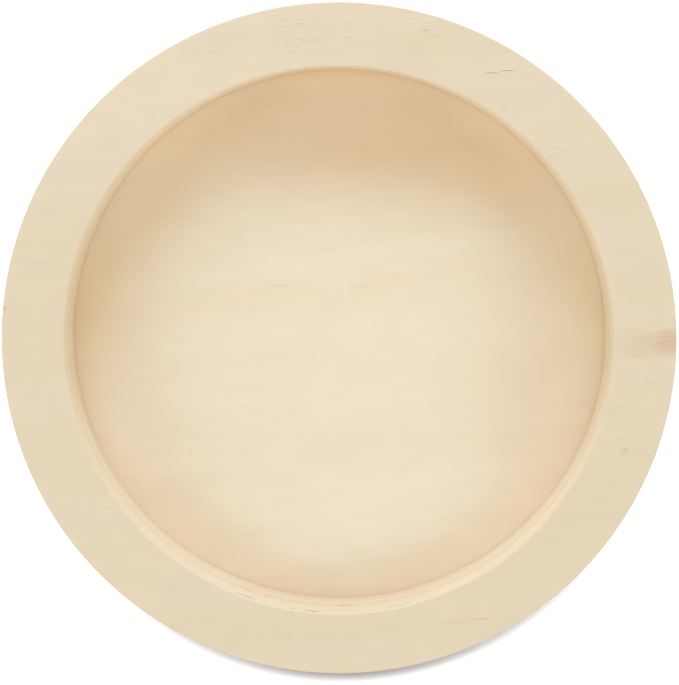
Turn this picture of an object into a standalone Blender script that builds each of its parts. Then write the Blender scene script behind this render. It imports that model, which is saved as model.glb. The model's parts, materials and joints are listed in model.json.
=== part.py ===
"""Round cradled wood panel: a thin round plywood face glued to one edge of a plywood ring.

It lies on its face with the recess up. The origin is the centre of the face, on the surface it lies on.
Units are metres, +Z up, and the face grain of both pieces runs along X.
"""

from math import cos, pi, radians, sin

import bpy

# Driving dimensions
PANEL_DIAMETER = 0.2032
RING_WIDTH = 0.0190
RING_THICKNESS = 0.0190
FACE_THICKNESS = 0.0030
GLUE_GAP = 0.0003

# Radius that each edge was sanded to
RIM_INNER_EDGE = 0.00075
RIM_OUTER_EDGE = 0.0005
SAWN_EDGE = 0.0002
FACE_EDGE = 0.0005

# How finely the round shapes are divided
TURN_STEPS = 96
EDGE_STEPS = 3
MERGE_DISTANCE = 0.00001

OUTER_RADIUS = PANEL_DIAMETER / 2
RECESS_RADIUS = OUTER_RADIUS - RING_WIDTH
RING_BOTTOM = FACE_THICKNESS + GLUE_GAP
RIM_HEIGHT = RING_BOTTOM + RING_THICKNESS


def clear_scene():
    """Remove every object of the scene that Blender starts with."""
    for thing in list(bpy.data.objects):
        bpy.data.objects.remove(thing, do_unlink=True)


def wood(name, colour, roughness):
    """Return a matte wood material of one colour."""
    material = bpy.data.materials.new(name)
    material.use_nodes = True
    shader = material.node_tree.nodes["Principled BSDF"]
    shader.inputs["Base Color"].default_value = (*colour, 1.0)
    shader.inputs["Roughness"].default_value = roughness
    shader.inputs["Metallic"].default_value = 0.0
    return material


def rounded_corner(corner, radius, start_degrees):
    """Return the points of a quarter circle that rounds a corner, turning clockwise from start_degrees.

    The corner is a point (x, z) of the outline, and its quarter circle bulges towards it.
    """
    middle_angle = radians(start_degrees - 45)
    centre_x = corner[0] - radius * (1 if cos(middle_angle) > 0 else -1)
    centre_z = corner[1] - radius * (1 if sin(middle_angle) > 0 else -1)
    points = []
    for step in range(EDGE_STEPS + 1):
        angle = radians(start_degrees) - pi / 2 * step / EDGE_STEPS
        points.append((centre_x + radius * cos(angle), centre_z + radius * sin(angle)))
    return points


def ring_outline():
    """Return the ring's section: down its outer side, then back up its inner side."""
    return (
        rounded_corner((OUTER_RADIUS, RIM_HEIGHT), RIM_OUTER_EDGE, 90)
        + rounded_corner((OUTER_RADIUS, RING_BOTTOM), SAWN_EDGE, 0)
        + rounded_corner((RECESS_RADIUS, RING_BOTTOM), SAWN_EDGE, -90)
        + rounded_corner((RECESS_RADIUS, RIM_HEIGHT), RIM_INNER_EDGE, 180)
    )


def face_outline():
    """Return half of the face's section: out along its top, down its edge and back along its underside."""
    return (
        [(0.0, FACE_THICKNESS)]
        + rounded_corner((OUTER_RADIUS, FACE_THICKNESS), SAWN_EDGE, 90)
        + rounded_corner((OUTER_RADIUS, 0.0), FACE_EDGE, 0)
        + [(0.0, 0.0)]
    )


def turned(name, outline, closed, material, collection, parent):
    """Turn an outline in the XZ plane about Z with a Screw modifier, and return the object."""
    edges = [(i, i + 1) for i in range(len(outline) - 1)]
    if closed:
        edges.append((len(outline) - 1, 0))
    mesh = bpy.data.meshes.new(name)
    mesh.from_pydata([(x, 0.0, z) for x, z in outline], edges, [])
    mesh.materials.append(material)

    piece = bpy.data.objects.new(name, mesh)
    piece.parent = parent
    collection.objects.link(piece)

    screw = piece.modifiers.new("Turn", "SCREW")
    screw.axis = "Z"
    screw.angle = 2 * pi
    screw.steps = TURN_STEPS
    screw.render_steps = TURN_STEPS
    screw.use_merge_vertices = True
    screw.merge_threshold = MERGE_DISTANCE
    screw.use_smooth_shade = False
    return piece


def main():
    clear_scene()
    collection = bpy.data.collections.new("round_wood_panel")
    bpy.context.scene.collection.children.link(collection)
    base = bpy.data.objects.new("panel_base", None)
    base.empty_display_size = OUTER_RADIUS
    collection.objects.link(base)

    ring_wood = wood("sanded_plywood_ring", (0.76, 0.65, 0.48), 0.62)
    face_wood = wood("sanded_plywood_face", (0.77, 0.66, 0.49), 0.60)
    turned("cradle_ring", ring_outline(), True, ring_wood, collection, base)
    turned("face_panel", face_outline(), False, face_wood, collection, base)


main()
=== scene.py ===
"""Looks of a round cradled wood panel: sanded plywood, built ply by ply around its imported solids.

Laid out as a Blender add-on and run as a script. Units are metres. +Z is up and out of the recess, +X is the
run of the face grain, and +Y is the panel's top when it stands up.
"""

import json
from math import cos, hypot, pi, radians, sin, tau

import bpy
from bpy.props import FloatProperty, FloatVectorProperty, IntProperty, PointerProperty
from mathutils import Matrix, Vector

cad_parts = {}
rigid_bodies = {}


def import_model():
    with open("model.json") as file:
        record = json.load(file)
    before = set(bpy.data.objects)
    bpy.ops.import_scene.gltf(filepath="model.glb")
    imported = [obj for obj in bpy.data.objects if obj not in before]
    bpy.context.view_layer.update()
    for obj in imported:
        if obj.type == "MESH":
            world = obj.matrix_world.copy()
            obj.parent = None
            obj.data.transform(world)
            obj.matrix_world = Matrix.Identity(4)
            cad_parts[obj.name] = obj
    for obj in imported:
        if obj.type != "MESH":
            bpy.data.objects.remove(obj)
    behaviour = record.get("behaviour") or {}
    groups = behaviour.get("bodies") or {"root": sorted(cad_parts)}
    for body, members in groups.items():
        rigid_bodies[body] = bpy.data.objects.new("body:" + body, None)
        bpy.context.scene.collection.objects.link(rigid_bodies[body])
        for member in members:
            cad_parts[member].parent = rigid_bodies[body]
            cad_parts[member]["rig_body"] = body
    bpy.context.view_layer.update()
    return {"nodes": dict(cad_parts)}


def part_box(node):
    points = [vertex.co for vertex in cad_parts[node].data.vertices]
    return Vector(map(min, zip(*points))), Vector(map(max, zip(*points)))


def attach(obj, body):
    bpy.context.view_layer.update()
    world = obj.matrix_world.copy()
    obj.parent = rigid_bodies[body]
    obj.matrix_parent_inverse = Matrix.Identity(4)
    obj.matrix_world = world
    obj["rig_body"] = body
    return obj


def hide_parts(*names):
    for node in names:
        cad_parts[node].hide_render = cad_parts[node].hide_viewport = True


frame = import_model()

bl_info = {
    "name": "Round Cradled Wood Panel",
    "version": (1, 0, 0),
    "blender": (4, 5, 0),
    "location": "View3D > Sidebar > Wood Panel",
    "description": "Builds a round plywood panel with a glued ring, ply by ply, and a plain studio for it",
    "category": "Object",
}

BODY = "root"

MM = 0.001
MERGE_DISTANCE = 1e-6

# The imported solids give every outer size. The outer radius stays a hair inside them, for rounding.
RING_LOW, RING_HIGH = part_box("cradle_ring")
FACE_LOW, FACE_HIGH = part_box("face_panel")
OUTER_RADIUS = RING_HIGH.x - 0.004 * MM
RECESS_RADIUS = min(hypot(v.co.x, v.co.y) for v in frame["nodes"]["cradle_ring"].data.vertices)
RIM_MIDDLE = Vector((0, 0, RING_HIGH.z))

SMOOTH_ANGLE = radians(35)
CUTTER_STEPS = 24
OUTER_SEAM_WANDER = 0.35

# The camera's sensor in mm, its shift as the photograph's framing needs it, and how near and far it sees
SENSOR_WIDTH = 36.0
CAMERA_SHIFT = (0.0021, 0.0034)
CAMERA_REACH = (0.01, 20)

# The studio: the soft boxes, the lamps and wash that light the paper alone, and the paper itself
BOX_SIZE = 0.6
BOX_DISTANCE = 1.2
PAPER_LAMP_DISTANCE = 2.5
PAPER_LAMP_POWER = 110
WASH_SIZE = 3.0
WASH_DISTANCE = 3.0
WASH_POWER = 70
PAPER_RADIUS = 0.7
PAPER_DROP = 0.2 * MM
WHITE = (1, 1, 1)

# How far the grain of each board runs off X, and how strongly its vessel lines show
RING_SLOPE = radians(3)
RING_PORES = 0.3
FACE_SLOPE = radians(6)
FACE_PORES = 0.12

# The ring's board has nine plies. From the bottom up, each is a little redder, paler or darker than the rim's
# veneer, by these shares of its red, green and blue. This is partly the plies' own colour and partly painted
# light and shade: the upper plies are paler and bluer where light falls on the wall, the lower ones redder
# where the wall's foot lies in shade.
RING_PLY_TINTS = (
    (1.03, 0.96, 0.90),
    (1.03, 0.97, 0.92),
    (1.05, 1.02, 0.99),
    (1.08, 1.08, 1.08),
    (1.01, 1.0, 0.99),
    (1.05, 1.07, 1.08),
    (1.06, 1.09, 1.11),
    (1.06, 1.09, 1.11),
    (1.0, 1.0, 1.0),
)
PLAIN_TINT = (1.0, 1.0, 1.0)
FACE_PLY_NAMES = ("face_front_veneer", "face_cross_ply", "face_floor_veneer")

# Gaps in the inner wall: angle round the ring, height, length and how tall the gap is, in degrees and mm.
WALL_GAPS = (
    (-110.3, 21.4, 7.0, 0.36),
    (-99.8, 21.4, 2.8, 0.28),
    (-95.5, 21.4, 5.0, 0.36),
    (-77.3, 21.4, 9.0, 0.12),
    (-110.0, 13.3, 2.0, 0.30),
    (-105.5, 14.0, 2.3, 0.28),
    (-88.6, 13.2, 4.7, 0.30),
    (-20.1, 6.7, 1.2, 0.40),
    (152.0, 9.1, 3.5, 0.25),
)
# The same for the outer edge, which the photograph doesn't show: a few small ones, as such boards have.
EDGE_GAPS = (
    (-64.0, 14.0, 4.2, 0.40),
    (-142.0, 9.1, 2.4, 0.35),
    (23.0, 18.9, 3.0, 0.35),
    (97.0, 6.7, 5.0, 0.40),
    (168.0, 11.6, 2.2, 0.45),
)
# The fine crack in the rim, as two overlapping splits: middle, length and turn, in mm and degrees.
RIM_CRACKS = (((45.6, 80.8), 4.0, 1.0), ((50.1, 81.45), 4.2, 5.0))
# Where the rim has more vessel lines: middle and radii, in mm.
RIM_CROWDS = (
    ((0.0, 90.0), (60.0, 12.0)),
    ((-10.0, 95.5), (6.0, 6.0)),
    ((25.0, 90.5), (7.0, 7.0)),
    ((-37.0, 86.5), (9.0, 5.0)),
    ((30.0, 83.5), (9.0, 4.0)),
    ((50.0, 72.0), (12.0, 7.0)),
    ((22.0, -84.5), (11.0, 6.0)),
)
CROWD_STRENGTH = 0.18


def linear(hex_colour):
    """Turn an sRGB colour such as #e7d9be into linear red, green and blue."""
    values = []
    for start in (1, 3, 5):
        level = int(hex_colour[start:start + 2], 16) / 255
        values.append(level / 12.92 if level <= 0.04045 else ((level + 0.055) / 1.055) ** 2.4)
    return tuple(values)


class PlywoodSizes(bpy.types.PropertyGroup):
    """Sizes of the plies, their edges and their flaws."""

    ring_veneer: FloatProperty(
        name="Ring's veneer", description="Thickness of the ring board's top and bottom veneers",
        default=0.9 * MM, min=0.85 * MM, max=3 * MM, unit="LENGTH", precision=5)
    face_veneer: FloatProperty(
        name="Face's veneer", description="Thickness of the face panel's front and back veneers",
        default=0.8 * MM, min=0.3 * MM, max=1.4 * MM, unit="LENGTH", precision=5)
    ply_edge: FloatProperty(
        name="Ply edge", description="Radius of the worn groove where two plies meet",
        default=0.02 * MM, min=0.01 * MM, max=0.2 * MM, unit="LENGTH", precision=6)
    rim_inner_edge: FloatProperty(
        name="Rim's inner edge", description="Radius that the rim's edge to the recess was sanded to",
        default=0.75 * MM, min=0.1 * MM, max=0.75 * MM, unit="LENGTH", precision=5)
    rim_outer_edge: FloatProperty(
        name="Rim's outer edge", description="Radius that the rim's outer edge was sanded to",
        default=0.5 * MM, min=0.1 * MM, max=0.75 * MM, unit="LENGTH", precision=5)
    sawn_edge: FloatProperty(
        name="Sawn edge", description="Radius of the edges along the glue line under the ring",
        default=0.15 * MM, min=0.05 * MM, max=0.5 * MM, unit="LENGTH", precision=5)
    glue_set_back: FloatProperty(
        name="Glue set back", description="How far the glue under the ring stays inside the edges",
        default=0.12 * MM, min=0.0, max=1 * MM, unit="LENGTH", precision=5)
    waver: FloatProperty(
        name="Waver", description="How far the seams between plies wander up and down",
        default=0.5 * MM, min=0.0, max=1 * MM, unit="LENGTH", precision=5)
    crack_width: FloatProperty(
        name="Crack width", description="Width of the fine crack in the rim",
        default=0.13 * MM, min=0.02 * MM, max=1 * MM, unit="LENGTH", precision=5)
    gap_depth: FloatProperty(
        name="Gap depth", description="How deep the gaps between plies go into the wood",
        default=0.5 * MM, min=0.1 * MM, max=4 * MM, unit="LENGTH", precision=5)
    turn_steps: IntProperty(
        name="Turn steps", description="How many steps each turned piece is divided into",
        default=512, min=64, max=1024)


class PlywoodColours(bpy.types.PropertyGroup):
    """Colours of the veneers, the glue, the stains and the painted shade and light."""

    floor_pale: FloatVectorProperty(
        name="Floor, pale", description="The recess floor's veneer where it is palest",
        subtype="COLOR", size=3, min=0, max=1, default=linear("#eddfc7"))
    floor_warm: FloatVectorProperty(
        name="Floor, warm", description="The recess floor's veneer along its yellower growth bands",
        subtype="COLOR", size=3, min=0, max=1, default=linear("#eadbc1"))
    # Painted shade: amber on the recess floor near its walls, where they shade it.
    floor_painted_shade: FloatVectorProperty(
        name="Floor, deep", description="The recess floor's veneer where it deepens to amber",
        subtype="COLOR", size=3, min=0, max=1, default=linear("#e0ba8a"))
    # Painted light: the recess floor paler under its top wall, to make up for the key light's shadow there.
    floor_painted_light: FloatVectorProperty(
        name="Floor, bright", description="The recess floor by its top wall, paler to make up for the shadow",
        subtype="COLOR", size=3, min=0, max=1, default=linear("#fce4c4"))
    ring_pale: FloatVectorProperty(
        name="Ring, pale", description="The ring's veneer where it is palest",
        subtype="COLOR", size=3, min=0, max=1, default=linear("#e0d1b8"))
    ring_warm: FloatVectorProperty(
        name="Ring, warm", description="The ring's veneer along its yellower growth bands",
        subtype="COLOR", size=3, min=0, max=1, default=linear("#ddceb3"))
    end_grain: FloatVectorProperty(
        name="End grain", description="Where a ply is cut across its fibres",
        subtype="COLOR", size=3, min=0, max=1, default=linear("#cdb78f"))
    pore: FloatVectorProperty(
        name="Pore", description="Short vessel lines in the veneer",
        subtype="COLOR", size=3, min=0, max=1, default=linear("#a98f68"))
    # Also painted shade: yellow spots at the recess floor's left and right edges, where the walls shade it.
    yellow: FloatVectorProperty(
        name="Yellow band", description="The yellow growth bands across the recess floor",
        subtype="COLOR", size=3, min=0, max=1, default=linear("#ecd6a2"))
    mineral: FloatVectorProperty(
        name="Mineral streak", description="Pink-brown streaks at the rim's right side",
        subtype="COLOR", size=3, min=0, max=1, default=linear("#c49a74"))
    void: FloatVectorProperty(
        name="Void", description="Raw torn wood inside the gaps and the crack",
        subtype="COLOR", size=3, min=0, max=1, default=linear("#a88c6c"))
    glue: FloatVectorProperty(
        name="Glue", description="Dried wood glue in the seam under the ring",
        subtype="COLOR", size=3, min=0, max=1, default=linear("#c4a26e"))


class StudioLook(bpy.types.PropertyGroup):
    """The camera, and how strong and what colour each light is."""

    camera_distance: FloatProperty(
        name="Camera distance", description="From the camera to the middle of the rim",
        default=0.5202, min=0.1, max=5, unit="LENGTH", precision=4)
    camera_tilt: FloatProperty(
        name="Camera tilt", description="How far the camera leans from overhead towards the panel's top",
        default=radians(6.353), subtype="ANGLE")
    camera_swing: FloatProperty(
        name="Camera swing", description="How far the camera leans from overhead towards the right",
        default=radians(0.853), subtype="ANGLE")
    camera_lens: FloatProperty(
        name="Lens", description="Focal length of the camera",
        default=90.95, min=20, max=300, subtype="DISTANCE_CAMERA")
    ambient: FloatVectorProperty(
        name="Ambient", description="Warm, even light from all round, as from bounced lamps",
        subtype="COLOR", size=3, min=0, max=1, default=linear("#dbc093"))
    bounce: FloatVectorProperty(
        name="Bounce", description="Paler light from below, as paper throws it back",
        subtype="COLOR", size=3, min=0, max=1, default=linear("#c8c4bc"))
    key_tint: FloatVectorProperty(
        name="Key tint", description="Colour of the key soft box",
        subtype="COLOR", size=3, min=0, max=1, default=linear("#c0dbff"))
    fill_tint: FloatVectorProperty(
        name="Fill tint", description="Colour of the soft boxes at the sides and the front",
        subtype="COLOR", size=3, min=0, max=1, default=linear("#94d1ff"))
    low_tint: FloatVectorProperty(
        name="Low tint", description="Colour of the low soft boxes, which light the outer edge and the wall",
        subtype="COLOR", size=3, min=0, max=1, default=linear("#ffe6d4"))
    wash_tint: FloatVectorProperty(
        name="Wash tint", description="Colour of the wash that makes the shadow on the paper a neutral grey",
        subtype="COLOR", size=3, min=0, max=1, default=linear("#b4d4ff"))
    key_power: FloatProperty(
        name="Key power", description="Soft box beyond the panel's top, which lights the recess's lower wall",
        default=10.2, min=0, max=100, unit="POWER")
    right_power: FloatProperty(
        name="Right power", description="Soft box on the right", default=4.5, min=0, max=100, unit="POWER")
    left_power: FloatProperty(
        name="Left power", description="Soft box on the left", default=4.8, min=0, max=100, unit="POWER")
    front_power: FloatProperty(
        name="Front power", description="Soft box on the panel's lower side",
        default=2.8, min=0, max=100, unit="POWER")
    low_powers: FloatVectorProperty(
        name="Low powers", description="Low soft boxes at the front, right, back and left, in watts",
        size=4, min=0, max=100, default=(3.8, 2.8, 1.4, 3.4))


def deselect_all():
    """Leave edit mode and deselect everything, so that the next operator acts on its own piece alone."""
    if bpy.context.object and bpy.context.object.mode != "OBJECT":
        bpy.ops.object.mode_set(mode="OBJECT")
    bpy.ops.object.select_all(action="DESELECT")


def activate(piece):
    """Select one piece and make it active."""
    deselect_all()
    piece.select_set(True)
    bpy.context.view_layer.objects.active = piece


def select_where(piece, chosen):
    """In edit mode, select the vertices whose place passes a test, with the edges between them."""
    bpy.ops.object.mode_set(mode="OBJECT")
    for polygon in piece.data.polygons:
        polygon.select = False
    for vertex in piece.data.vertices:
        vertex.select = chosen(vertex.co)
    for edge in piece.data.edges:
        edge.select = all(piece.data.vertices[end].select for end in edge.vertices)
    bpy.ops.object.mode_set(mode="EDIT")


def near(a, b):
    """Say whether two lengths are the same to within a hundredth of a millimetre."""
    return abs(a - b) < 0.01 * MM


def apply_modifier(piece, modifier):
    """Apply one of a piece's modifiers to its mesh."""
    activate(piece)
    bpy.ops.object.modifier_apply(modifier=modifier.name)


def turned_ring(name, inner, outer, low, high, edges, steps):
    """Turn an upright rectangle round Z into a ring with rounded edges, and return it.

    edges gives the radius of the rounding at the outer top, outer bottom, inner bottom and inner top.
    """
    deselect_all()
    bpy.ops.mesh.primitive_plane_add(
        size=1, location=((inner + outer) / 2, 0, (low + high) / 2), rotation=(pi / 2, 0, 0))
    piece = bpy.context.object
    piece.name = piece.data.name = name
    piece.scale = (outer - inner, high - low, 1)
    bpy.ops.object.transform_apply(location=True, rotation=True, scale=True)

    bpy.ops.object.mode_set(mode="EDIT")
    bpy.ops.mesh.select_mode(type="VERT")
    corners = ((outer, high), (outer, low), (inner, low), (inner, high))
    for (x, z), radius in zip(corners, edges):
        select_where(piece, lambda co: near(co.x, x) and near(co.z, z))
        bpy.ops.mesh.bevel(offset=radius, offset_type="OFFSET", segments=4, affect="VERTICES")
    bpy.ops.mesh.select_all(action="SELECT")
    bpy.ops.mesh.delete(type="ONLY_FACE")
    bpy.ops.mesh.select_all(action="SELECT")
    bpy.ops.mesh.spin(steps=steps, angle=tau, center=(0, 0, 0), axis=(0, 0, 1))
    close_and_face_outwards()
    return piece


def close_and_face_outwards():
    """Merge the seam that a spin leaves, turn every face outwards, and leave edit mode."""
    bpy.ops.mesh.select_all(action="SELECT")
    bpy.ops.mesh.remove_doubles(threshold=MERGE_DISTANCE)
    bpy.ops.mesh.normals_make_consistent(inside=False)
    bpy.ops.object.mode_set(mode="OBJECT")


def disc(name, radius, low, high, edges, steps):
    """Cut a round veneer from a cylinder with rounded edges, and return it. edges is (top, bottom)."""
    deselect_all()
    bpy.ops.mesh.primitive_cylinder_add(
        vertices=steps, radius=radius, depth=high - low, end_fill_type="TRIFAN",
        location=(0, 0, (low + high) / 2))
    piece = bpy.context.object
    piece.name = piece.data.name = name
    bpy.ops.object.transform_apply(location=True, rotation=True, scale=True)
    bpy.ops.object.mode_set(mode="EDIT")
    bpy.ops.mesh.select_mode(type="EDGE")
    for z, edge in ((high, edges[0]), (low, edges[1])):
        select_where(piece, lambda co: near(co.z, z) and near(hypot(co.x, co.y), radius))
        bpy.ops.mesh.bevel(offset=edge, offset_type="OFFSET", segments=3, affect="EDGES")
    close_and_face_outwards()
    return piece


def add_waver(piece, amount, middle, low_share, high_share):
    """Move a ply's lower and upper seams up and down by a slow noise, the same for both plies at a seam."""
    texture = bpy.data.textures.get("ply_waver")
    if texture is None:
        texture = bpy.data.textures.new("ply_waver", "CLOUDS")
        texture.noise_scale = 0.035
        texture.noise_depth = 2
    # The noise is squeezed along Z, so that each seam wanders on its own.
    guide = bpy.data.objects.new("waver_guide", None)
    bpy.context.scene.collection.objects.link(guide)
    guide.scale = (1, 1, 0.08)
    bpy.context.view_layer.update()
    group = piece.vertex_groups.new(name="seams")
    for vertex in piece.data.vertices:
        group.add([vertex.index], low_share if vertex.co.z < middle else high_share, "REPLACE")
    displace = piece.modifiers.new("Waver", "DISPLACE")
    displace.texture = texture
    displace.texture_coords = "OBJECT"
    displace.texture_coords_object = guide
    displace.direction = "Z"
    displace.mid_level = 0.5
    displace.strength = amount
    displace.vertex_group = group.name
    apply_modifier(piece, displace)
    piece.vertex_groups.clear()
    bpy.data.objects.remove(guide, do_unlink=True)


def gap_cutter(place, length, height, depth, turn):
    """Shape a lens with a ragged upper side that cuts a gap, and return it.

    Its length lies along X before the turn, its depth is how far it reaches to each side of the place.
    """
    deselect_all()
    bpy.ops.mesh.primitive_uv_sphere_add(
        segments=CUTTER_STEPS, ring_count=CUTTER_STEPS, radius=0.5, rotation=(0, pi / 2, 0))
    cutter = bpy.context.object
    bpy.ops.object.transform_apply(location=True, rotation=True, scale=True)
    cutter.scale = (length, depth * 2, height)
    bpy.ops.object.transform_apply(location=True, rotation=True, scale=True)
    ragged = bpy.data.textures.get("torn_fibre")
    if ragged is None:
        ragged = bpy.data.textures.new("torn_fibre", "CLOUDS")
        ragged.noise_scale = 0.8 * MM
    # Only the upper half moves, and only upwards, so the lens can't cross itself.
    upper = cutter.vertex_groups.new(name="upper")
    upper.add([v.index for v in cutter.data.vertices if v.co.z > height * 0.05], 1.0, "REPLACE")
    displace = cutter.modifiers.new("Ragged", "DISPLACE")
    displace.texture = ragged
    displace.texture_coords = "LOCAL"
    displace.direction = "Z"
    displace.mid_level = 0.35
    displace.strength = height * 0.6
    displace.vertex_group = upper.name
    apply_modifier(cutter, displace)
    cutter.rotation_euler = (0, 0, turn)
    cutter.location = place
    bpy.ops.object.transform_apply(location=True, rotation=True, scale=True)
    return cutter


def wall_cutters(gaps, radius, depth):
    """Make a cutter for each gap in a round wall."""
    cutters = []
    for angle, height, length, tall in gaps:
        way = radians(angle)
        place = (radius * cos(way), radius * sin(way), height * MM)
        cutters.append(gap_cutter(place, length * MM, tall * MM, depth, way + pi / 2))
    return cutters


def cut_gaps(piece, cutters, lining):
    """Cut each gap out of a piece that it reaches. Its sides take the lining as a second material."""
    low = min(vertex.co.z for vertex in piece.data.vertices)
    high = max(vertex.co.z for vertex in piece.data.vertices)
    for cutter in cutters:
        heights = [vertex.co.z for vertex in cutter.data.vertices]
        if min(heights) > high or max(heights) < low:
            continue
        if not cutter.data.materials:
            cutter.data.materials.append(lining)
        cut = piece.modifiers.new("Gap", "BOOLEAN")
        cut.operation = "DIFFERENCE"
        cut.solver = "EXACT"
        cut.material_mode = "TRANSFER"
        cut.object = cutter
        apply_modifier(piece, cut)


def finish_piece(piece, replaced):
    """Shade a piece and tie it to the frame."""
    activate(piece)
    bpy.ops.object.shade_smooth_by_angle(angle=SMOOTH_ANGLE)
    weighted = piece.modifiers.new("Flat faces stay flat", "WEIGHTED_NORMAL")
    weighted.keep_sharp = True
    apply_modifier(piece, weighted)
    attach(piece, BODY)
    if replaced:
        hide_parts(replaced)
    deselect_all()


def add_node(tree, kind, settings=(), links=()):
    """Add a shader node, set its properties and inputs, and link other nodes' outputs to its inputs."""
    node = tree.nodes.new("ShaderNode" + kind)
    for key, value in dict(settings).items():
        if isinstance(key, int) or key in node.inputs:
            node.inputs[key].default_value = value
        else:
            setattr(node, key, value)
    for key, output in dict(links).items():
        tree.links.new(output, node.inputs[key])
    return node


def rgba(colour, tint=PLAIN_TINT):
    """Return a colour, its red, green and blue times a tint's, with full alpha, as shader sockets take it."""
    return (*(min(1.0, level * share) for level, share in zip(colour, tint)), 1.0)


def soft_spot(tree, place, middle, radii, turn, strength):
    """Return a mask that has its full strength at a spot's middle and fades to 0 at an ellipse round it.

    place is the output that gives the surface's place. The middle and the radii are in mm, and the turn is in
    degrees.
    """
    mapping = add_node(tree, "Mapping", {
        "vector_type": "TEXTURE", "Location": (middle[0] * MM, middle[1] * MM, 0),
        "Rotation": (0, 0, radians(turn)), "Scale": (radii[0] * MM, radii[1] * MM, 1)}, {"Vector": place})
    flat = add_node(tree, "VectorMath", {"operation": "MULTIPLY", 1: (1, 1, 0)}, {0: mapping.outputs[0]})
    length = add_node(tree, "VectorMath", {"operation": "LENGTH"}, {0: flat.outputs[0]})
    fade = add_node(tree, "MapRange", {
        "interpolation_type": "SMOOTHSTEP", "From Min": 1.0, "From Max": 0.0, "To Max": strength},
        {"Value": length.outputs["Value"]})
    return fade.outputs[0]


def stretched(tree, along, length, width):
    """Return grain coordinates in which a pattern's cells are so long and so wide, in mm."""
    scaled = add_node(tree, "VectorMath", {
        "operation": "MULTIPLY", 1: (1 / (length * MM), 1 / (width * MM), 1 / (width * MM))}, {0: along})
    return scaled.outputs[0]


def clean_wood(tree, along, fibre, pale, warm):
    """Return the colour of clean veneer: growth bands, toned by its fibres and by faint patches."""
    # Growth bands: about 14 mm wide, where the knife passes slowly through the rings.
    bands = add_node(tree, "TexNoise", {"Scale": 1.0, "Detail": 3.0, "Roughness": 0.55, "Distortion": 0.4},
                     {"Vector": stretched(tree, along, 160, 14)})
    bands_mask = add_node(tree, "MapRange", {"From Min": 0.3, "From Max": 0.7}, {"Value": bands.outputs[0]})
    banded = add_node(tree, "Mix", {"data_type": "RGBA", 6: pale, 7: warm}, {0: bands_mask.outputs[0]})

    fibre_tone = add_node(tree, "MapRange", {
        "From Min": 0.25, "From Max": 0.75, "To Min": 0.985, "To Max": 1.01}, {"Value": fibre})
    fibred = add_node(tree, "Mix", {"data_type": "RGBA", "blend_type": "MULTIPLY", 0: 1.0},
                      {6: banded.outputs[2], 7: fibre_tone.outputs[0]})

    # Faint patches about 10 mm across, where the wood took the sanding differently.
    patches = add_node(tree, "TexNoise", {"Scale": 1.0, "Detail": 2.0},
                       {"Vector": stretched(tree, along, 14, 8)})
    patch_tone = add_node(tree, "MapRange", {
        "From Min": 0.3, "From Max": 0.7, "To Min": 0.985, "To Max": 1.01}, {"Value": patches.outputs[0]})
    toned = add_node(tree, "Mix", {"data_type": "RGBA", "blend_type": "MULTIPLY", 0: 1.0},
                     {6: fibred.outputs[2], 7: patch_tone.outputs[0]})
    return toned.outputs[2]


def vessel_lines(tree, place, along, crowds):
    """Return a mask of vessel lines: about 3 mm long and 0.25 mm wide, side by side in small groups."""
    cells = add_node(tree, "TexVoronoi", {"Scale": 1.0, "Randomness": 1.0},
                     {"Vector": stretched(tree, along, 4.5, 0.45)})
    line = add_node(tree, "MapRange", {"From Min": 0.36, "From Max": 0.2},
                    {"Value": cells.outputs["Distance"]})
    pick = add_node(tree, "SeparateColor", {}, {0: cells.outputs["Color"]})
    picked = add_node(tree, "MapRange", {"From Min": 0.25, "From Max": 0.6}, {"Value": pick.outputs[0]})
    groups = add_node(tree, "TexNoise", {"Scale": 1.0, "Detail": 1.0},
                      {"Vector": stretched(tree, along, 11, 7)})
    crowding = groups.outputs[0]
    for middle, radii in crowds:
        crowd = soft_spot(tree, place, middle, radii, 0, CROWD_STRENGTH)
        crowding = add_node(tree, "Math", {"operation": "ADD"}, {0: crowding, 1: crowd}).outputs[0]
    grouped = add_node(tree, "MapRange", {"From Min": 0.62, "From Max": 0.74}, {"Value": crowding})
    picked_lines = add_node(tree, "Math", {"operation": "MULTIPLY"},
                            {0: line.outputs[0], 1: picked.outputs[0]})
    grouped_lines = add_node(tree, "Math", {"operation": "MULTIPLY"},
                             {0: picked_lines.outputs[0], 1: grouped.outputs[0]})
    return grouped_lines.outputs[0]


def with_stains_and_painted_shade(tree, place, fibre, colour, spots):
    """Return a colour with stains and painted shade and light over it, all streaky along the fibres."""
    streaks = add_node(tree, "MapRange", {
        "From Min": 0.35, "From Max": 0.65, "To Min": 0.88, "To Max": 1.1}, {"Value": fibre})
    for middle, radii, angle, stain_and_painted_shade, strength in spots:
        mask = soft_spot(tree, place, middle, radii, angle, strength)
        streaked = add_node(tree, "Math", {"operation": "MULTIPLY"}, {0: mask, 1: streaks.outputs[0]})
        stained_and_painted_shade = add_node(tree, "Mix", {"data_type": "RGBA", 7: rgba(stain_and_painted_shade)},
                           {0: streaked.outputs[0], 6: colour})
        colour = stained_and_painted_shade.outputs[2]
    return colour


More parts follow.
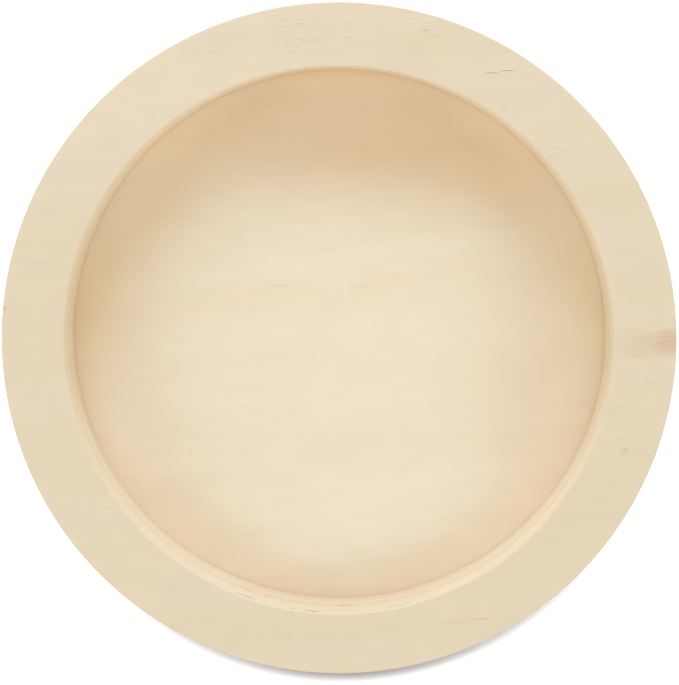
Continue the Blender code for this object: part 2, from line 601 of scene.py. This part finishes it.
def end_grain_share(tree, normal, along, across):
    """Return how much of the end grain's colour shows. Cut fibres swallow light, most in their pores."""
    grain_axis = (0, 1, 0) if across else (1, 0, 0)
    facing = add_node(tree, "VectorMath", {"operation": "DOT_PRODUCT", 1: grain_axis}, {0: normal})
    cut_across = add_node(tree, "Math", {"operation": "ABSOLUTE"}, {0: facing.outputs["Value"]})
    share = add_node(tree, "MapRange", {
        "interpolation_type": "SMOOTHSTEP", "From Min": 0.25, "From Max": 0.95, "To Max": 0.14},
        {"Value": cut_across.outputs[0]})
    # Pores about 0.6 mm apart.
    pits = add_node(tree, "TexNoise", {"Scale": 1 / (0.6 * MM), "Detail": 2.0}, {"Vector": along})
    pits_tone = add_node(tree, "MapRange", {
        "From Min": 0.35, "From Max": 0.65, "To Min": 0.2, "To Max": 1.0}, {"Value": pits.outputs[0]})
    pitted = add_node(tree, "Math", {"operation": "MULTIPLY"}, {0: share.outputs[0], 1: pits_tone.outputs[0]})
    return pitted.outputs[0]


def sanding_marks(tree, place, normal):
    """Return a mask of scratches round the turned edges, 0.2 mm apart and about 15 mm long."""
    axes = add_node(tree, "SeparateXYZ", {}, {0: place})
    angle = add_node(tree, "Math", {"operation": "ARCTAN2"}, {0: axes.outputs["Y"], 1: axes.outputs["X"]})
    arc = add_node(tree, "Math", {"operation": "MULTIPLY", 1: OUTER_RADIUS / (15 * MM)},
                   {0: angle.outputs[0]})
    rise = add_node(tree, "Math", {"operation": "MULTIPLY", 1: 1 / (0.2 * MM)}, {0: axes.outputs["Z"]})
    sweep = add_node(tree, "CombineXYZ", {}, {0: arc.outputs[0], 2: rise.outputs[0]})
    scratches = add_node(tree, "TexNoise", {"Scale": 1.0, "Detail": 1.0}, {"Vector": sweep.outputs[0]})
    # They fade out where the surface lies flat.
    lying = add_node(tree, "SeparateXYZ", {}, {0: normal})
    flatness = add_node(tree, "Math", {"operation": "ABSOLUTE"}, {0: lying.outputs["Z"]})
    upright = add_node(tree, "MapRange", {"From Min": 0.6, "From Max": 0.1, "To Max": 0.6},
                       {"Value": flatness.outputs[0]})
    marks = add_node(tree, "Math", {"operation": "MULTIPLY"},
                     {0: scratches.outputs[0], 1: upright.outputs[0]})
    return marks.outputs[0]


def veneer(name, across, seed, pale, warm, colours, tint, slope, pores, spots=(), crowds=()):
    """Rotary-cut basswood veneer, sanded and left bare: pale, nearly even, with faint fibre along the grain.

    across says that the grain runs along Y, and slope turns it a little more. seed moves the pattern, so
    that no two plies match. tint sets a ply apart in colour, on the ring partly with painted light and shade,
    and pores says how strongly the vessel lines show. spots are stains, and on the recess floor also painted
    shade and painted light, each a centre and two radii in mm, a turn in degrees, a colour and a strength.
    crowds are places with more vessel lines, each a centre and two radii in mm.
    """
    material = bpy.data.materials.new(name)
    material.use_nodes = True
    tree = material.node_tree
    shader = tree.nodes["Principled BSDF"]
    # Bare sanded wood scatters light almost evenly, with a faint sheen along the fibres.
    shader.inputs["Roughness"].default_value = 0.6
    shader.inputs["IOR"].default_value = 1.5
    shader.inputs["Specular IOR Level"].default_value = 0.3

    surface = add_node(tree, "TexCoord")
    place, normal = surface.outputs["Object"], surface.outputs["Normal"]
    turn = (pi / 2 if across else 0.0) - slope
    grain = add_node(tree, "Mapping", {
        "Location": (seed * 0.37, seed * 0.91, seed * 0.53), "Rotation": (0, 0, turn)}, {"Vector": place})
    along = grain.outputs[0]
    # Fibres: 0.7 mm wide and 25 mm long, drawn about three times as coarse as real ones so that they show.
    fibres = add_node(tree, "TexNoise", {"Scale": 1.0, "Detail": 3.0, "Roughness": 0.6},
                      {"Vector": stretched(tree, along, 25, 0.7)})
    fibre = fibres.outputs[0]

    clean = clean_wood(tree, along, fibre, rgba(pale, tint), rgba(warm, tint))
    lines = vessel_lines(tree, place, along, crowds)
    line_strength = add_node(tree, "Math", {"operation": "MULTIPLY", 1: pores}, {0: lines})
    pored = add_node(tree, "Mix", {"data_type": "RGBA", 7: rgba(colours.pore)},
                     {0: line_strength.outputs[0], 6: clean})
    stained_and_painted_shade = with_stains_and_painted_shade(tree, place, fibre, pored.outputs[2], spots)
    end_share = end_grain_share(tree, normal, along, across)
    ended = add_node(tree, "Mix", {"data_type": "RGBA", 7: rgba(colours.end_grain, tint)},
                     {0: end_share, 6: stained_and_painted_shade})
    marks = sanding_marks(tree, place, normal)
    marks_tone = add_node(tree, "MapRange", {"To Min": 1.02, "To Max": 0.93}, {"Value": marks})
    final = add_node(tree, "Mix", {"data_type": "RGBA", "blend_type": "MULTIPLY", 0: 1.0},
                     {6: ended.outputs[2], 7: marks_tone.outputs[0]})
    tree.links.new(final.outputs[2], shader.inputs["Base Color"])

    # Raised grain after sanding: fibres stand about 0.01 mm proud. Vessel lines and scratches are grooves,
    # which light from one side edges with a dark and a light line.
    proud = add_node(tree, "Math", {"operation": "MULTIPLY", 1: 0.4}, {0: fibre})
    grooved = add_node(tree, "Math", {"operation": "MULTIPLY_ADD", 1: -2.5}, {0: lines, 2: proud.outputs[0]})
    relief = add_node(tree, "Math", {"operation": "SUBTRACT"}, {0: grooved.outputs[0], 1: marks})
    bump = add_node(tree, "Bump", {"Strength": 0.5, "Distance": 0.03 * MM}, {"Height": relief.outputs[0]})
    tree.links.new(bump.outputs[0], shader.inputs["Normal"])
    return material


def mottled(name, colour, roughness):
    """Return a matte material of one colour with a faint mottle of about 2 mm."""
    material = bpy.data.materials.new(name)
    material.use_nodes = True
    tree = material.node_tree
    shader = tree.nodes["Principled BSDF"]
    shader.inputs["Roughness"].default_value = roughness
    place = add_node(tree, "TexCoord")
    mottle = add_node(tree, "TexNoise", {"Scale": 1 / (2 * MM), "Detail": 3.0},
                      {"Vector": place.outputs["Object"]})
    tone = add_node(tree, "MapRange", {"To Min": 0.8, "To Max": 1.15}, {"Value": mottle.outputs[0]})
    mixed = add_node(tree, "Mix", {"data_type": "RGBA", "blend_type": "MULTIPLY", 0: 1.0, 6: rgba(colour)},
                     {7: tone.outputs[0]})
    tree.links.new(mixed.outputs[2], shader.inputs["Base Color"])
    return material


def rim_spots(colours):
    """Stains of the rim's veneer, in mm on the panel."""
    return (
        # The pink-brown streaks at the right
        ((91.5, 0.2), (15.0, 7.5), 0, colours.mineral, 0.18),
        ((100.0, 1.6), (8.5, 5.2), 0, colours.mineral, 0.42),
        ((98.6, 4.0), (4.8, 0.8), 0, colours.mineral, 0.26),
        ((98.0, 2.7), (4.6, 0.5), -3, colours.mineral, 0.24),
        ((97.6, 0.9), (5.4, 0.6), 6, colours.mineral, 0.34),
        ((96.4, -0.4), (4.8, 0.5), 3, colours.mineral, 0.18),
        ((99.5, -1.6), (7.0, 2.8), 0, colours.mineral, 0.22),
        ((91.2, 2.3), (4.2, 0.6), 8, colours.mineral, 0.16),
        ((92.2, 0.6), (3.8, 0.5), -7, colours.mineral, 0.14),
        ((88.0, 5.0), (6.0, 0.6), 0, colours.pore, 0.06),
        ((90.5, -2.9), (7.0, 0.9), 0, colours.mineral, 0.14),
        ((97.8, -5.2), (4.2, 0.5), 4, colours.pore, 0.10),
        ((95.0, -7.2), (5.2, 0.4), 0, colours.pore, 0.07),
        # The brown line at the lower right
        ((43.0, -84.2), (5.2, 0.45), 2, colours.mineral, 0.34),
        ((44.5, -84.2), (3.4, 0.25), 2, colours.pore, 0.20),
        ((36.5, -85.5), (9.0, 1.4), 2, colours.mineral, 0.08),
        # Dashes and a nick at the left
        ((-93.0, 23.4), (1.6, 0.25), 4, colours.pore, 0.30),
        ((-89.1, 24.7), (2.7, 0.25), 12, colours.pore, 0.30),
        ((-88.2, 15.7), (1.7, 0.25), 11, colours.pore, 0.28),
        ((-84.6, 7.7), (2.1, 0.22), 0, colours.pore, 0.20),
        ((-86.2, 8.7), (1.2, 0.2), 35, colours.pore, 0.16),
        ((-100.2, 10.9), (1.3, 0.5), 0, colours.void, 0.40),
        ((-89.0, -1.6), (8.0, 0.5), 0, colours.pore, 0.07),
        ((-93.0, -7.7), (4.5, 0.4), 0, colours.pore, 0.07),
        # A faint cloud at the top, and the torn fibres at the crack's left end
        ((25.0, 88.5), (8.0, 5.0), 0, colours.mineral, 0.06),
        ((42.9, 79.7), (1.5, 0.2), -20, colours.void, 0.35),
        ((43.4, 80.4), (1.6, 0.15), 8, colours.void, 0.35),
    )


def floor_spots(colours):
    """Stains, specks, painted shade and painted light of the recess floor, in mm on the panel."""
    # Each speck is its place and its strength.
    specks = ((37.2, -16.8, 0.55), (-9.4, 5.9, 0.45), (36.0, 1.0, 0.25), (14.5, 7.7, 0.25),
              (3.2, 31.7, 0.25), (24.6, 34.9, 0.25), (55.8, -0.7, 0.3), (-4.1, -7.6, 0.25))
    return (
        # Broad soft painted shade and painted light round the edge. They aren't real stains: they stand in
        # for amber light and shade that the soft boxes don't give there, amber and yellow painted shade near
        # the walls and paler painted light under the top wall, where the key light's shadow falls.
        ((10.0, 60.0), (86.0, 31.0), -6, colours.floor_painted_shade, 0.48),
        ((0.0, 83.6), (60.0, 13.0), 0, colours.floor_painted_light, 0.9),
        ((-47.9, 68.5), (48.0, 12.0), 35, colours.floor_painted_light, 0.5),
        ((47.9, 68.5), (48.0, 12.0), -35, colours.floor_painted_light, 0.4),
        ((-82.0, 8.0), (20.0, 50.0), 0, colours.yellow, 0.34),
        ((-76.0, 12.0), (16.0, 60.0), 0, colours.floor_painted_shade, 0.12),
        ((82.0, 20.0), (20.0, 55.0), 0, colours.yellow, 0.30),
        ((62.0, -22.0), (34.0, 60.0), 16, colours.floor_painted_shade, 0.15),
        # The yellow band across the middle, and the curved marks in it
        ((-28.0, 12.0), (36.0, 5.5), 4, colours.yellow, 0.24),
        ((-43.0, 8.8), (20.0, 1.8), 3, colours.yellow, 0.12),
        ((-28.0, 9.3), (24.0, 1.0), 3, colours.yellow, 0.14),
        ((12.0, 16.6), (16.0, 6.5), 16, colours.yellow, 0.28),
        ((6.7, 15.8), (4.0, 2.6), 10, colours.mineral, 0.06),
        ((29.0, 20.8), (24.0, 3.4), 10, colours.yellow, 0.24),
        ((-18.8, 16.4), (5.0, 0.5), 2, colours.mineral, 0.26),
        ((-2.3, 9.6), (7.5, 0.3), 0, colours.mineral, 0.14),
        ((0.4, 15.6), (0.45, 2.6), -12, colours.pore, 0.11),
        ((1.2, 12.4), (0.4, 1.6), 14, colours.pore, 0.08),
    ) + tuple(((x, y), (0.45, 0.3), 0, colours.void, strength) for x, y, strength in specks)


class WOODPANEL_OT_ring(bpy.types.Operator):
    """Build the ring's nine plies, with the crack in the rim and the gaps between plies"""

    bl_idname = "woodpanel.ring"
    bl_label = "Ring plies"

    def execute(self, context):
        sizes = context.scene.plywood_sizes
        colours = context.scene.plywood_colours
        bottom, top = RING_LOW.z, RING_HIGH.z
        count = len(RING_PLY_TINTS)
        core_ply = (top - bottom - 2 * sizes.ring_veneer) / (count - 2)
        seams = [bottom] + [bottom + sizes.ring_veneer + core_ply * i for i in range(count - 1)] + [top]
        # The two outermost seams wander less, because the veneers over them are thin.
        wander = [0.0, OUTER_SEAM_WANDER] + [1.0] * (count - 3) + [OUTER_SEAM_WANDER, 0.0]
        torn_wood = mottled("torn_basswood_fibre", colours.void, 0.85)
        cutters = wall_cutters(WALL_GAPS, RECESS_RADIUS, sizes.gap_depth)
        cutters += wall_cutters(EDGE_GAPS, OUTER_RADIUS, sizes.gap_depth)
        # The crack goes twice as deep into the rim as it is wide.
        for (x, y), length, turn in RIM_CRACKS:
            cutters.append(gap_cutter((x * MM, y * MM, top), length * MM, sizes.crack_width * 4,
                                      sizes.crack_width / 2, radians(turn)))
        for number, tint in enumerate(RING_PLY_TINTS):
            low, high = seams[number], seams[number + 1]
            outer_top_edge = inner_top_edge = low_edge = sizes.ply_edge
            spots = crowds = ()
            name = f"ring_ply_{number + 1}"
            if high == top:
                outer_top_edge, inner_top_edge = sizes.rim_outer_edge, sizes.rim_inner_edge
                spots = rim_spots(colours)
                crowds = RIM_CROWDS
                name = "ring_rim_veneer"
            if low == bottom:
                low_edge = sizes.sawn_edge
                name = "ring_bottom_veneer"
            edges = (outer_top_edge, low_edge, low_edge, inner_top_edge)
            ply = turned_ring(name, RECESS_RADIUS, OUTER_RADIUS, low, high, edges, sizes.turn_steps)
            add_waver(ply, sizes.waver, (low + high) / 2, wander[number], wander[number + 1])
            ply.data.materials.append(veneer(
                f"basswood_veneer_{name}", number % 2 == 1, number + 1, colours.ring_pale, colours.ring_warm,
                colours, tint, RING_SLOPE, RING_PORES, spots, crowds))
            cut_gaps(ply, cutters, torn_wood)
            finish_piece(ply, "cradle_ring")
        for cutter in cutters:
            bpy.data.objects.remove(cutter, do_unlink=True)
        return {"FINISHED"}


class WOODPANEL_OT_face(bpy.types.Operator):
    """Build the face panel's three plies"""

    bl_idname = "woodpanel.face"
    bl_label = "Face plies"

    def execute(self, context):
        sizes = context.scene.plywood_sizes
        colours = context.scene.plywood_colours
        bottom, top = FACE_LOW.z, FACE_HIGH.z
        seams = [bottom, bottom + sizes.face_veneer, top - sizes.face_veneer, top]
        for number, name in enumerate(FACE_PLY_NAMES):
            low, high = seams[number], seams[number + 1]
            top_edge = sizes.sawn_edge if high == top else sizes.ply_edge
            low_edge = sizes.rim_outer_edge if low == bottom else sizes.ply_edge
            ply = disc(name, OUTER_RADIUS, low, high, (top_edge, low_edge), sizes.turn_steps)
            spots = floor_spots(colours) if high == top else ()
            ply.data.materials.append(veneer(
                f"basswood_veneer_{name}", number == 1, number + 11, colours.floor_pale, colours.floor_warm,
                colours, PLAIN_TINT, FACE_SLOPE, FACE_PORES, spots))
            finish_piece(ply, "face_panel")
        return {"FINISHED"}


class WOODPANEL_OT_glue(bpy.types.Operator):
    """Lay the glue between the ring and the face"""

    bl_idname = "woodpanel.glue"
    bl_label = "Glue line"

    def execute(self, context):
        sizes = context.scene.plywood_sizes
        colours = context.scene.plywood_colours
        inner = RECESS_RADIUS + sizes.glue_set_back
        outer = OUTER_RADIUS - sizes.glue_set_back
        edge = (RING_LOW.z - FACE_HIGH.z) / 4
        glue = turned_ring(
            "glue_line", inner, outer, FACE_HIGH.z, RING_LOW.z, (edge,) * 4, sizes.turn_steps)
        glue.data.materials.append(mottled("dried_wood_glue", colours.glue, 0.45))
        finish_piece(glue, None)
        return {"FINISHED"}


def soft_box(name, azimuth, elevation, power, colour, receivers, distance=BOX_DISTANCE, size=BOX_SIZE):
    """Add a round soft light that faces the middle of the rim. Azimuth 0 is on the -Y side."""
    azimuth, elevation = radians(azimuth), radians(elevation)
    back = Vector((sin(azimuth) * cos(elevation), -cos(azimuth) * cos(elevation), sin(elevation)))
    data = bpy.data.lights.new(name, "AREA")
    data.shape = "DISK"
    data.size = size
    data.energy = power
    data.color = colour
    lamp = bpy.data.objects.new(name, data)
    bpy.context.scene.collection.objects.link(lamp)
    lamp.location = RIM_MIDDLE + back * distance
    lamp.rotation_euler = back.to_track_quat("Z", "Y").to_euler()
    lamp.visible_camera = False
    lamp.light_linking.receiver_collection = receivers
    return lamp


def light_group(name, things):
    """Return a collection, kept out of the scene, of the things that a light falls on."""
    group = bpy.data.collections.new(name)
    for thing in things:
        group.objects.link(thing)
    return group


class WOODPANEL_OT_stage(bpy.types.Operator):
    """Set up the floor, the lights and the camera"""

    bl_idname = "woodpanel.stage"
    bl_label = "Studio"

    def execute(self, context):
        look = context.scene.studio_look
        pieces = [thing for thing in context.scene.objects if thing.type == "MESH" and "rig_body" in thing]
        floor = self.add_floor()
        self.add_camera(context, look)
        self.add_lights(look, light_group("lit_panel", pieces), light_group("lit_floor", [floor]))
        self.set_world(context, look)
        context.scene.view_settings.view_transform = "Standard"
        context.scene.view_settings.look = "None"
        return {"FINISHED"}

    def add_floor(self):
        """Pale grey paper that the panel lies on, which the lamps over it turn white."""
        deselect_all()
        bpy.ops.mesh.primitive_circle_add(
            vertices=128, radius=PAPER_RADIUS, fill_type="NGON", location=(0, 0, -PAPER_DROP))
        floor = bpy.context.object
        floor.name = floor.data.name = "paper_floor"
        # Its glare would bleach the panel's outer edge.
        floor.visible_diffuse = False
        paper = bpy.data.materials.new("matte_grey_paper")
        paper.use_nodes = True
        shader = paper.node_tree.nodes["Principled BSDF"]
        shader.inputs["Base Color"].default_value = rgba(linear("#b4b4b4"))
        shader.inputs["Roughness"].default_value = 0.9
        floor.data.materials.append(paper)
        return floor

    def add_camera(self, context, look):
        """Look down on the panel from the photograph's viewing angle."""
        tilt, swing = look.camera_tilt, look.camera_swing
        back = Vector((sin(swing) * cos(tilt), sin(tilt), cos(swing) * cos(tilt)))
        right = Vector((cos(swing), 0, -sin(swing)))
        up = back.cross(right)
        data = bpy.data.cameras.new("camera")
        data.sensor_width = SENSOR_WIDTH
        data.lens = look.camera_lens
        data.shift_x, data.shift_y = CAMERA_SHIFT
        data.clip_start, data.clip_end = CAMERA_REACH
        camera = bpy.data.objects.new("camera", data)
        turn = Matrix((right, up, back)).transposed().to_4x4()
        camera.matrix_world = Matrix.Translation(RIM_MIDDLE + back * look.camera_distance) @ turn
        context.scene.collection.objects.link(camera)
        context.scene.camera = camera

    def add_lights(self, look, panel, floor):
        """Soft boxes round the panel, low ones for its outer edge, and lights for the paper alone."""
        soft_box("key_box", 180, 22, look.key_power, look.key_tint, panel)
        soft_box("right_box", 90, 30, look.right_power, look.fill_tint, panel)
        soft_box("left_box", -90, 30, look.left_power, look.fill_tint, panel)
        soft_box("front_box", 0, 50, look.front_power, look.fill_tint, panel)
        for quarter, name in enumerate(("front", "right", "back", "left")):
            soft_box(f"low_{name}_box", 90 * quarter, 6, look.low_powers[quarter], look.low_tint, panel)
        # Two lamps light the paper past white. It is grey only where the panel hides both.
        for side, azimuth in (("right", 163), ("left", 203)):
            soft_box(f"floor_{side}_box", azimuth, 66, PAPER_LAMP_POWER, WHITE, floor, PAPER_LAMP_DISTANCE)
        wash = soft_box(
            "floor_wash_box", 0, 90, WASH_POWER, look.wash_tint, floor, WASH_DISTANCE, WASH_SIZE)
        wash.data.use_shadow = False

    def set_world(self, context, look):
        """Even light from all round, which shows as white behind the panel."""
        world = bpy.data.worlds.new("studio")
        context.scene.world = world
        world.use_nodes = True
        tree = world.node_tree
        seen = tree.nodes["Background"]
        seen.inputs["Color"].default_value = rgba(WHITE)
        seen.inputs["Strength"].default_value = 1.0
        # From below comes what the paper throws back, which only the outer edge and the front see.
        way = add_node(tree, "TexCoord")
        axes = add_node(tree, "SeparateXYZ", {}, {0: way.outputs["Generated"]})
        above = add_node(tree, "MapRange", {"From Min": -0.05, "From Max": 0.0},
                         {"Value": axes.outputs["Z"]})
        around = add_node(tree, "Mix", {"data_type": "RGBA", 6: rgba(look.bounce), 7: rgba(look.ambient)},
                          {0: above.outputs[0]})
        ambient = add_node(tree, "Background", {"Strength": 1.0}, {"Color": around.outputs[2]})
        ray = add_node(tree, "LightPath")
        either = add_node(tree, "MixShader", {}, {
            0: ray.outputs["Is Camera Ray"], 1: ambient.outputs[0], 2: seen.outputs[0]})
        tree.links.new(either.outputs[0], tree.nodes["World Output"].inputs["Surface"])


class WOODPANEL_PT_sidebar(bpy.types.Panel):
    """The panel's steps and sizes, in the 3D view's sidebar"""

    bl_idname = "WOODPANEL_PT_sidebar"
    bl_label = "Round wood panel"
    bl_space_type = "VIEW_3D"
    bl_region_type = "UI"
    bl_category = "Wood Panel"

    def draw(self, context):
        for step in STEPS:
            self.layout.operator(step.bl_idname)
        scene = context.scene
        for group in (scene.plywood_sizes, scene.plywood_colours, scene.studio_look):
            box = self.layout.box()
            for name in group.bl_rna.properties.keys():
                if name not in ("rna_type", "name"):
                    box.prop(group, name)


STEPS = (WOODPANEL_OT_face, WOODPANEL_OT_glue, WOODPANEL_OT_ring, WOODPANEL_OT_stage)
GROUPS = (PlywoodSizes, PlywoodColours, StudioLook)


def register():
    """Register the classes and put their values on the scene."""
    for item in (*GROUPS, *STEPS, WOODPANEL_PT_sidebar):
        bpy.utils.register_class(item)
    bpy.types.Scene.plywood_sizes = PointerProperty(type=PlywoodSizes)
    bpy.types.Scene.plywood_colours = PointerProperty(type=PlywoodColours)
    bpy.types.Scene.studio_look = PointerProperty(type=StudioLook)


def unregister():
    """Take the classes and their values away again."""
    del bpy.types.Scene.studio_look
    del bpy.types.Scene.plywood_colours
    del bpy.types.Scene.plywood_sizes
    for item in reversed((*GROUPS, *STEPS, WOODPANEL_PT_sidebar)):
        bpy.utils.unregister_class(item)


def main():
    """Build everything in order."""
    register()
    bpy.ops.woodpanel.face()
    bpy.ops.woodpanel.glue()
    bpy.ops.woodpanel.ring()
    bpy.ops.woodpanel.stage()


if __name__ == "__main__":
    main()
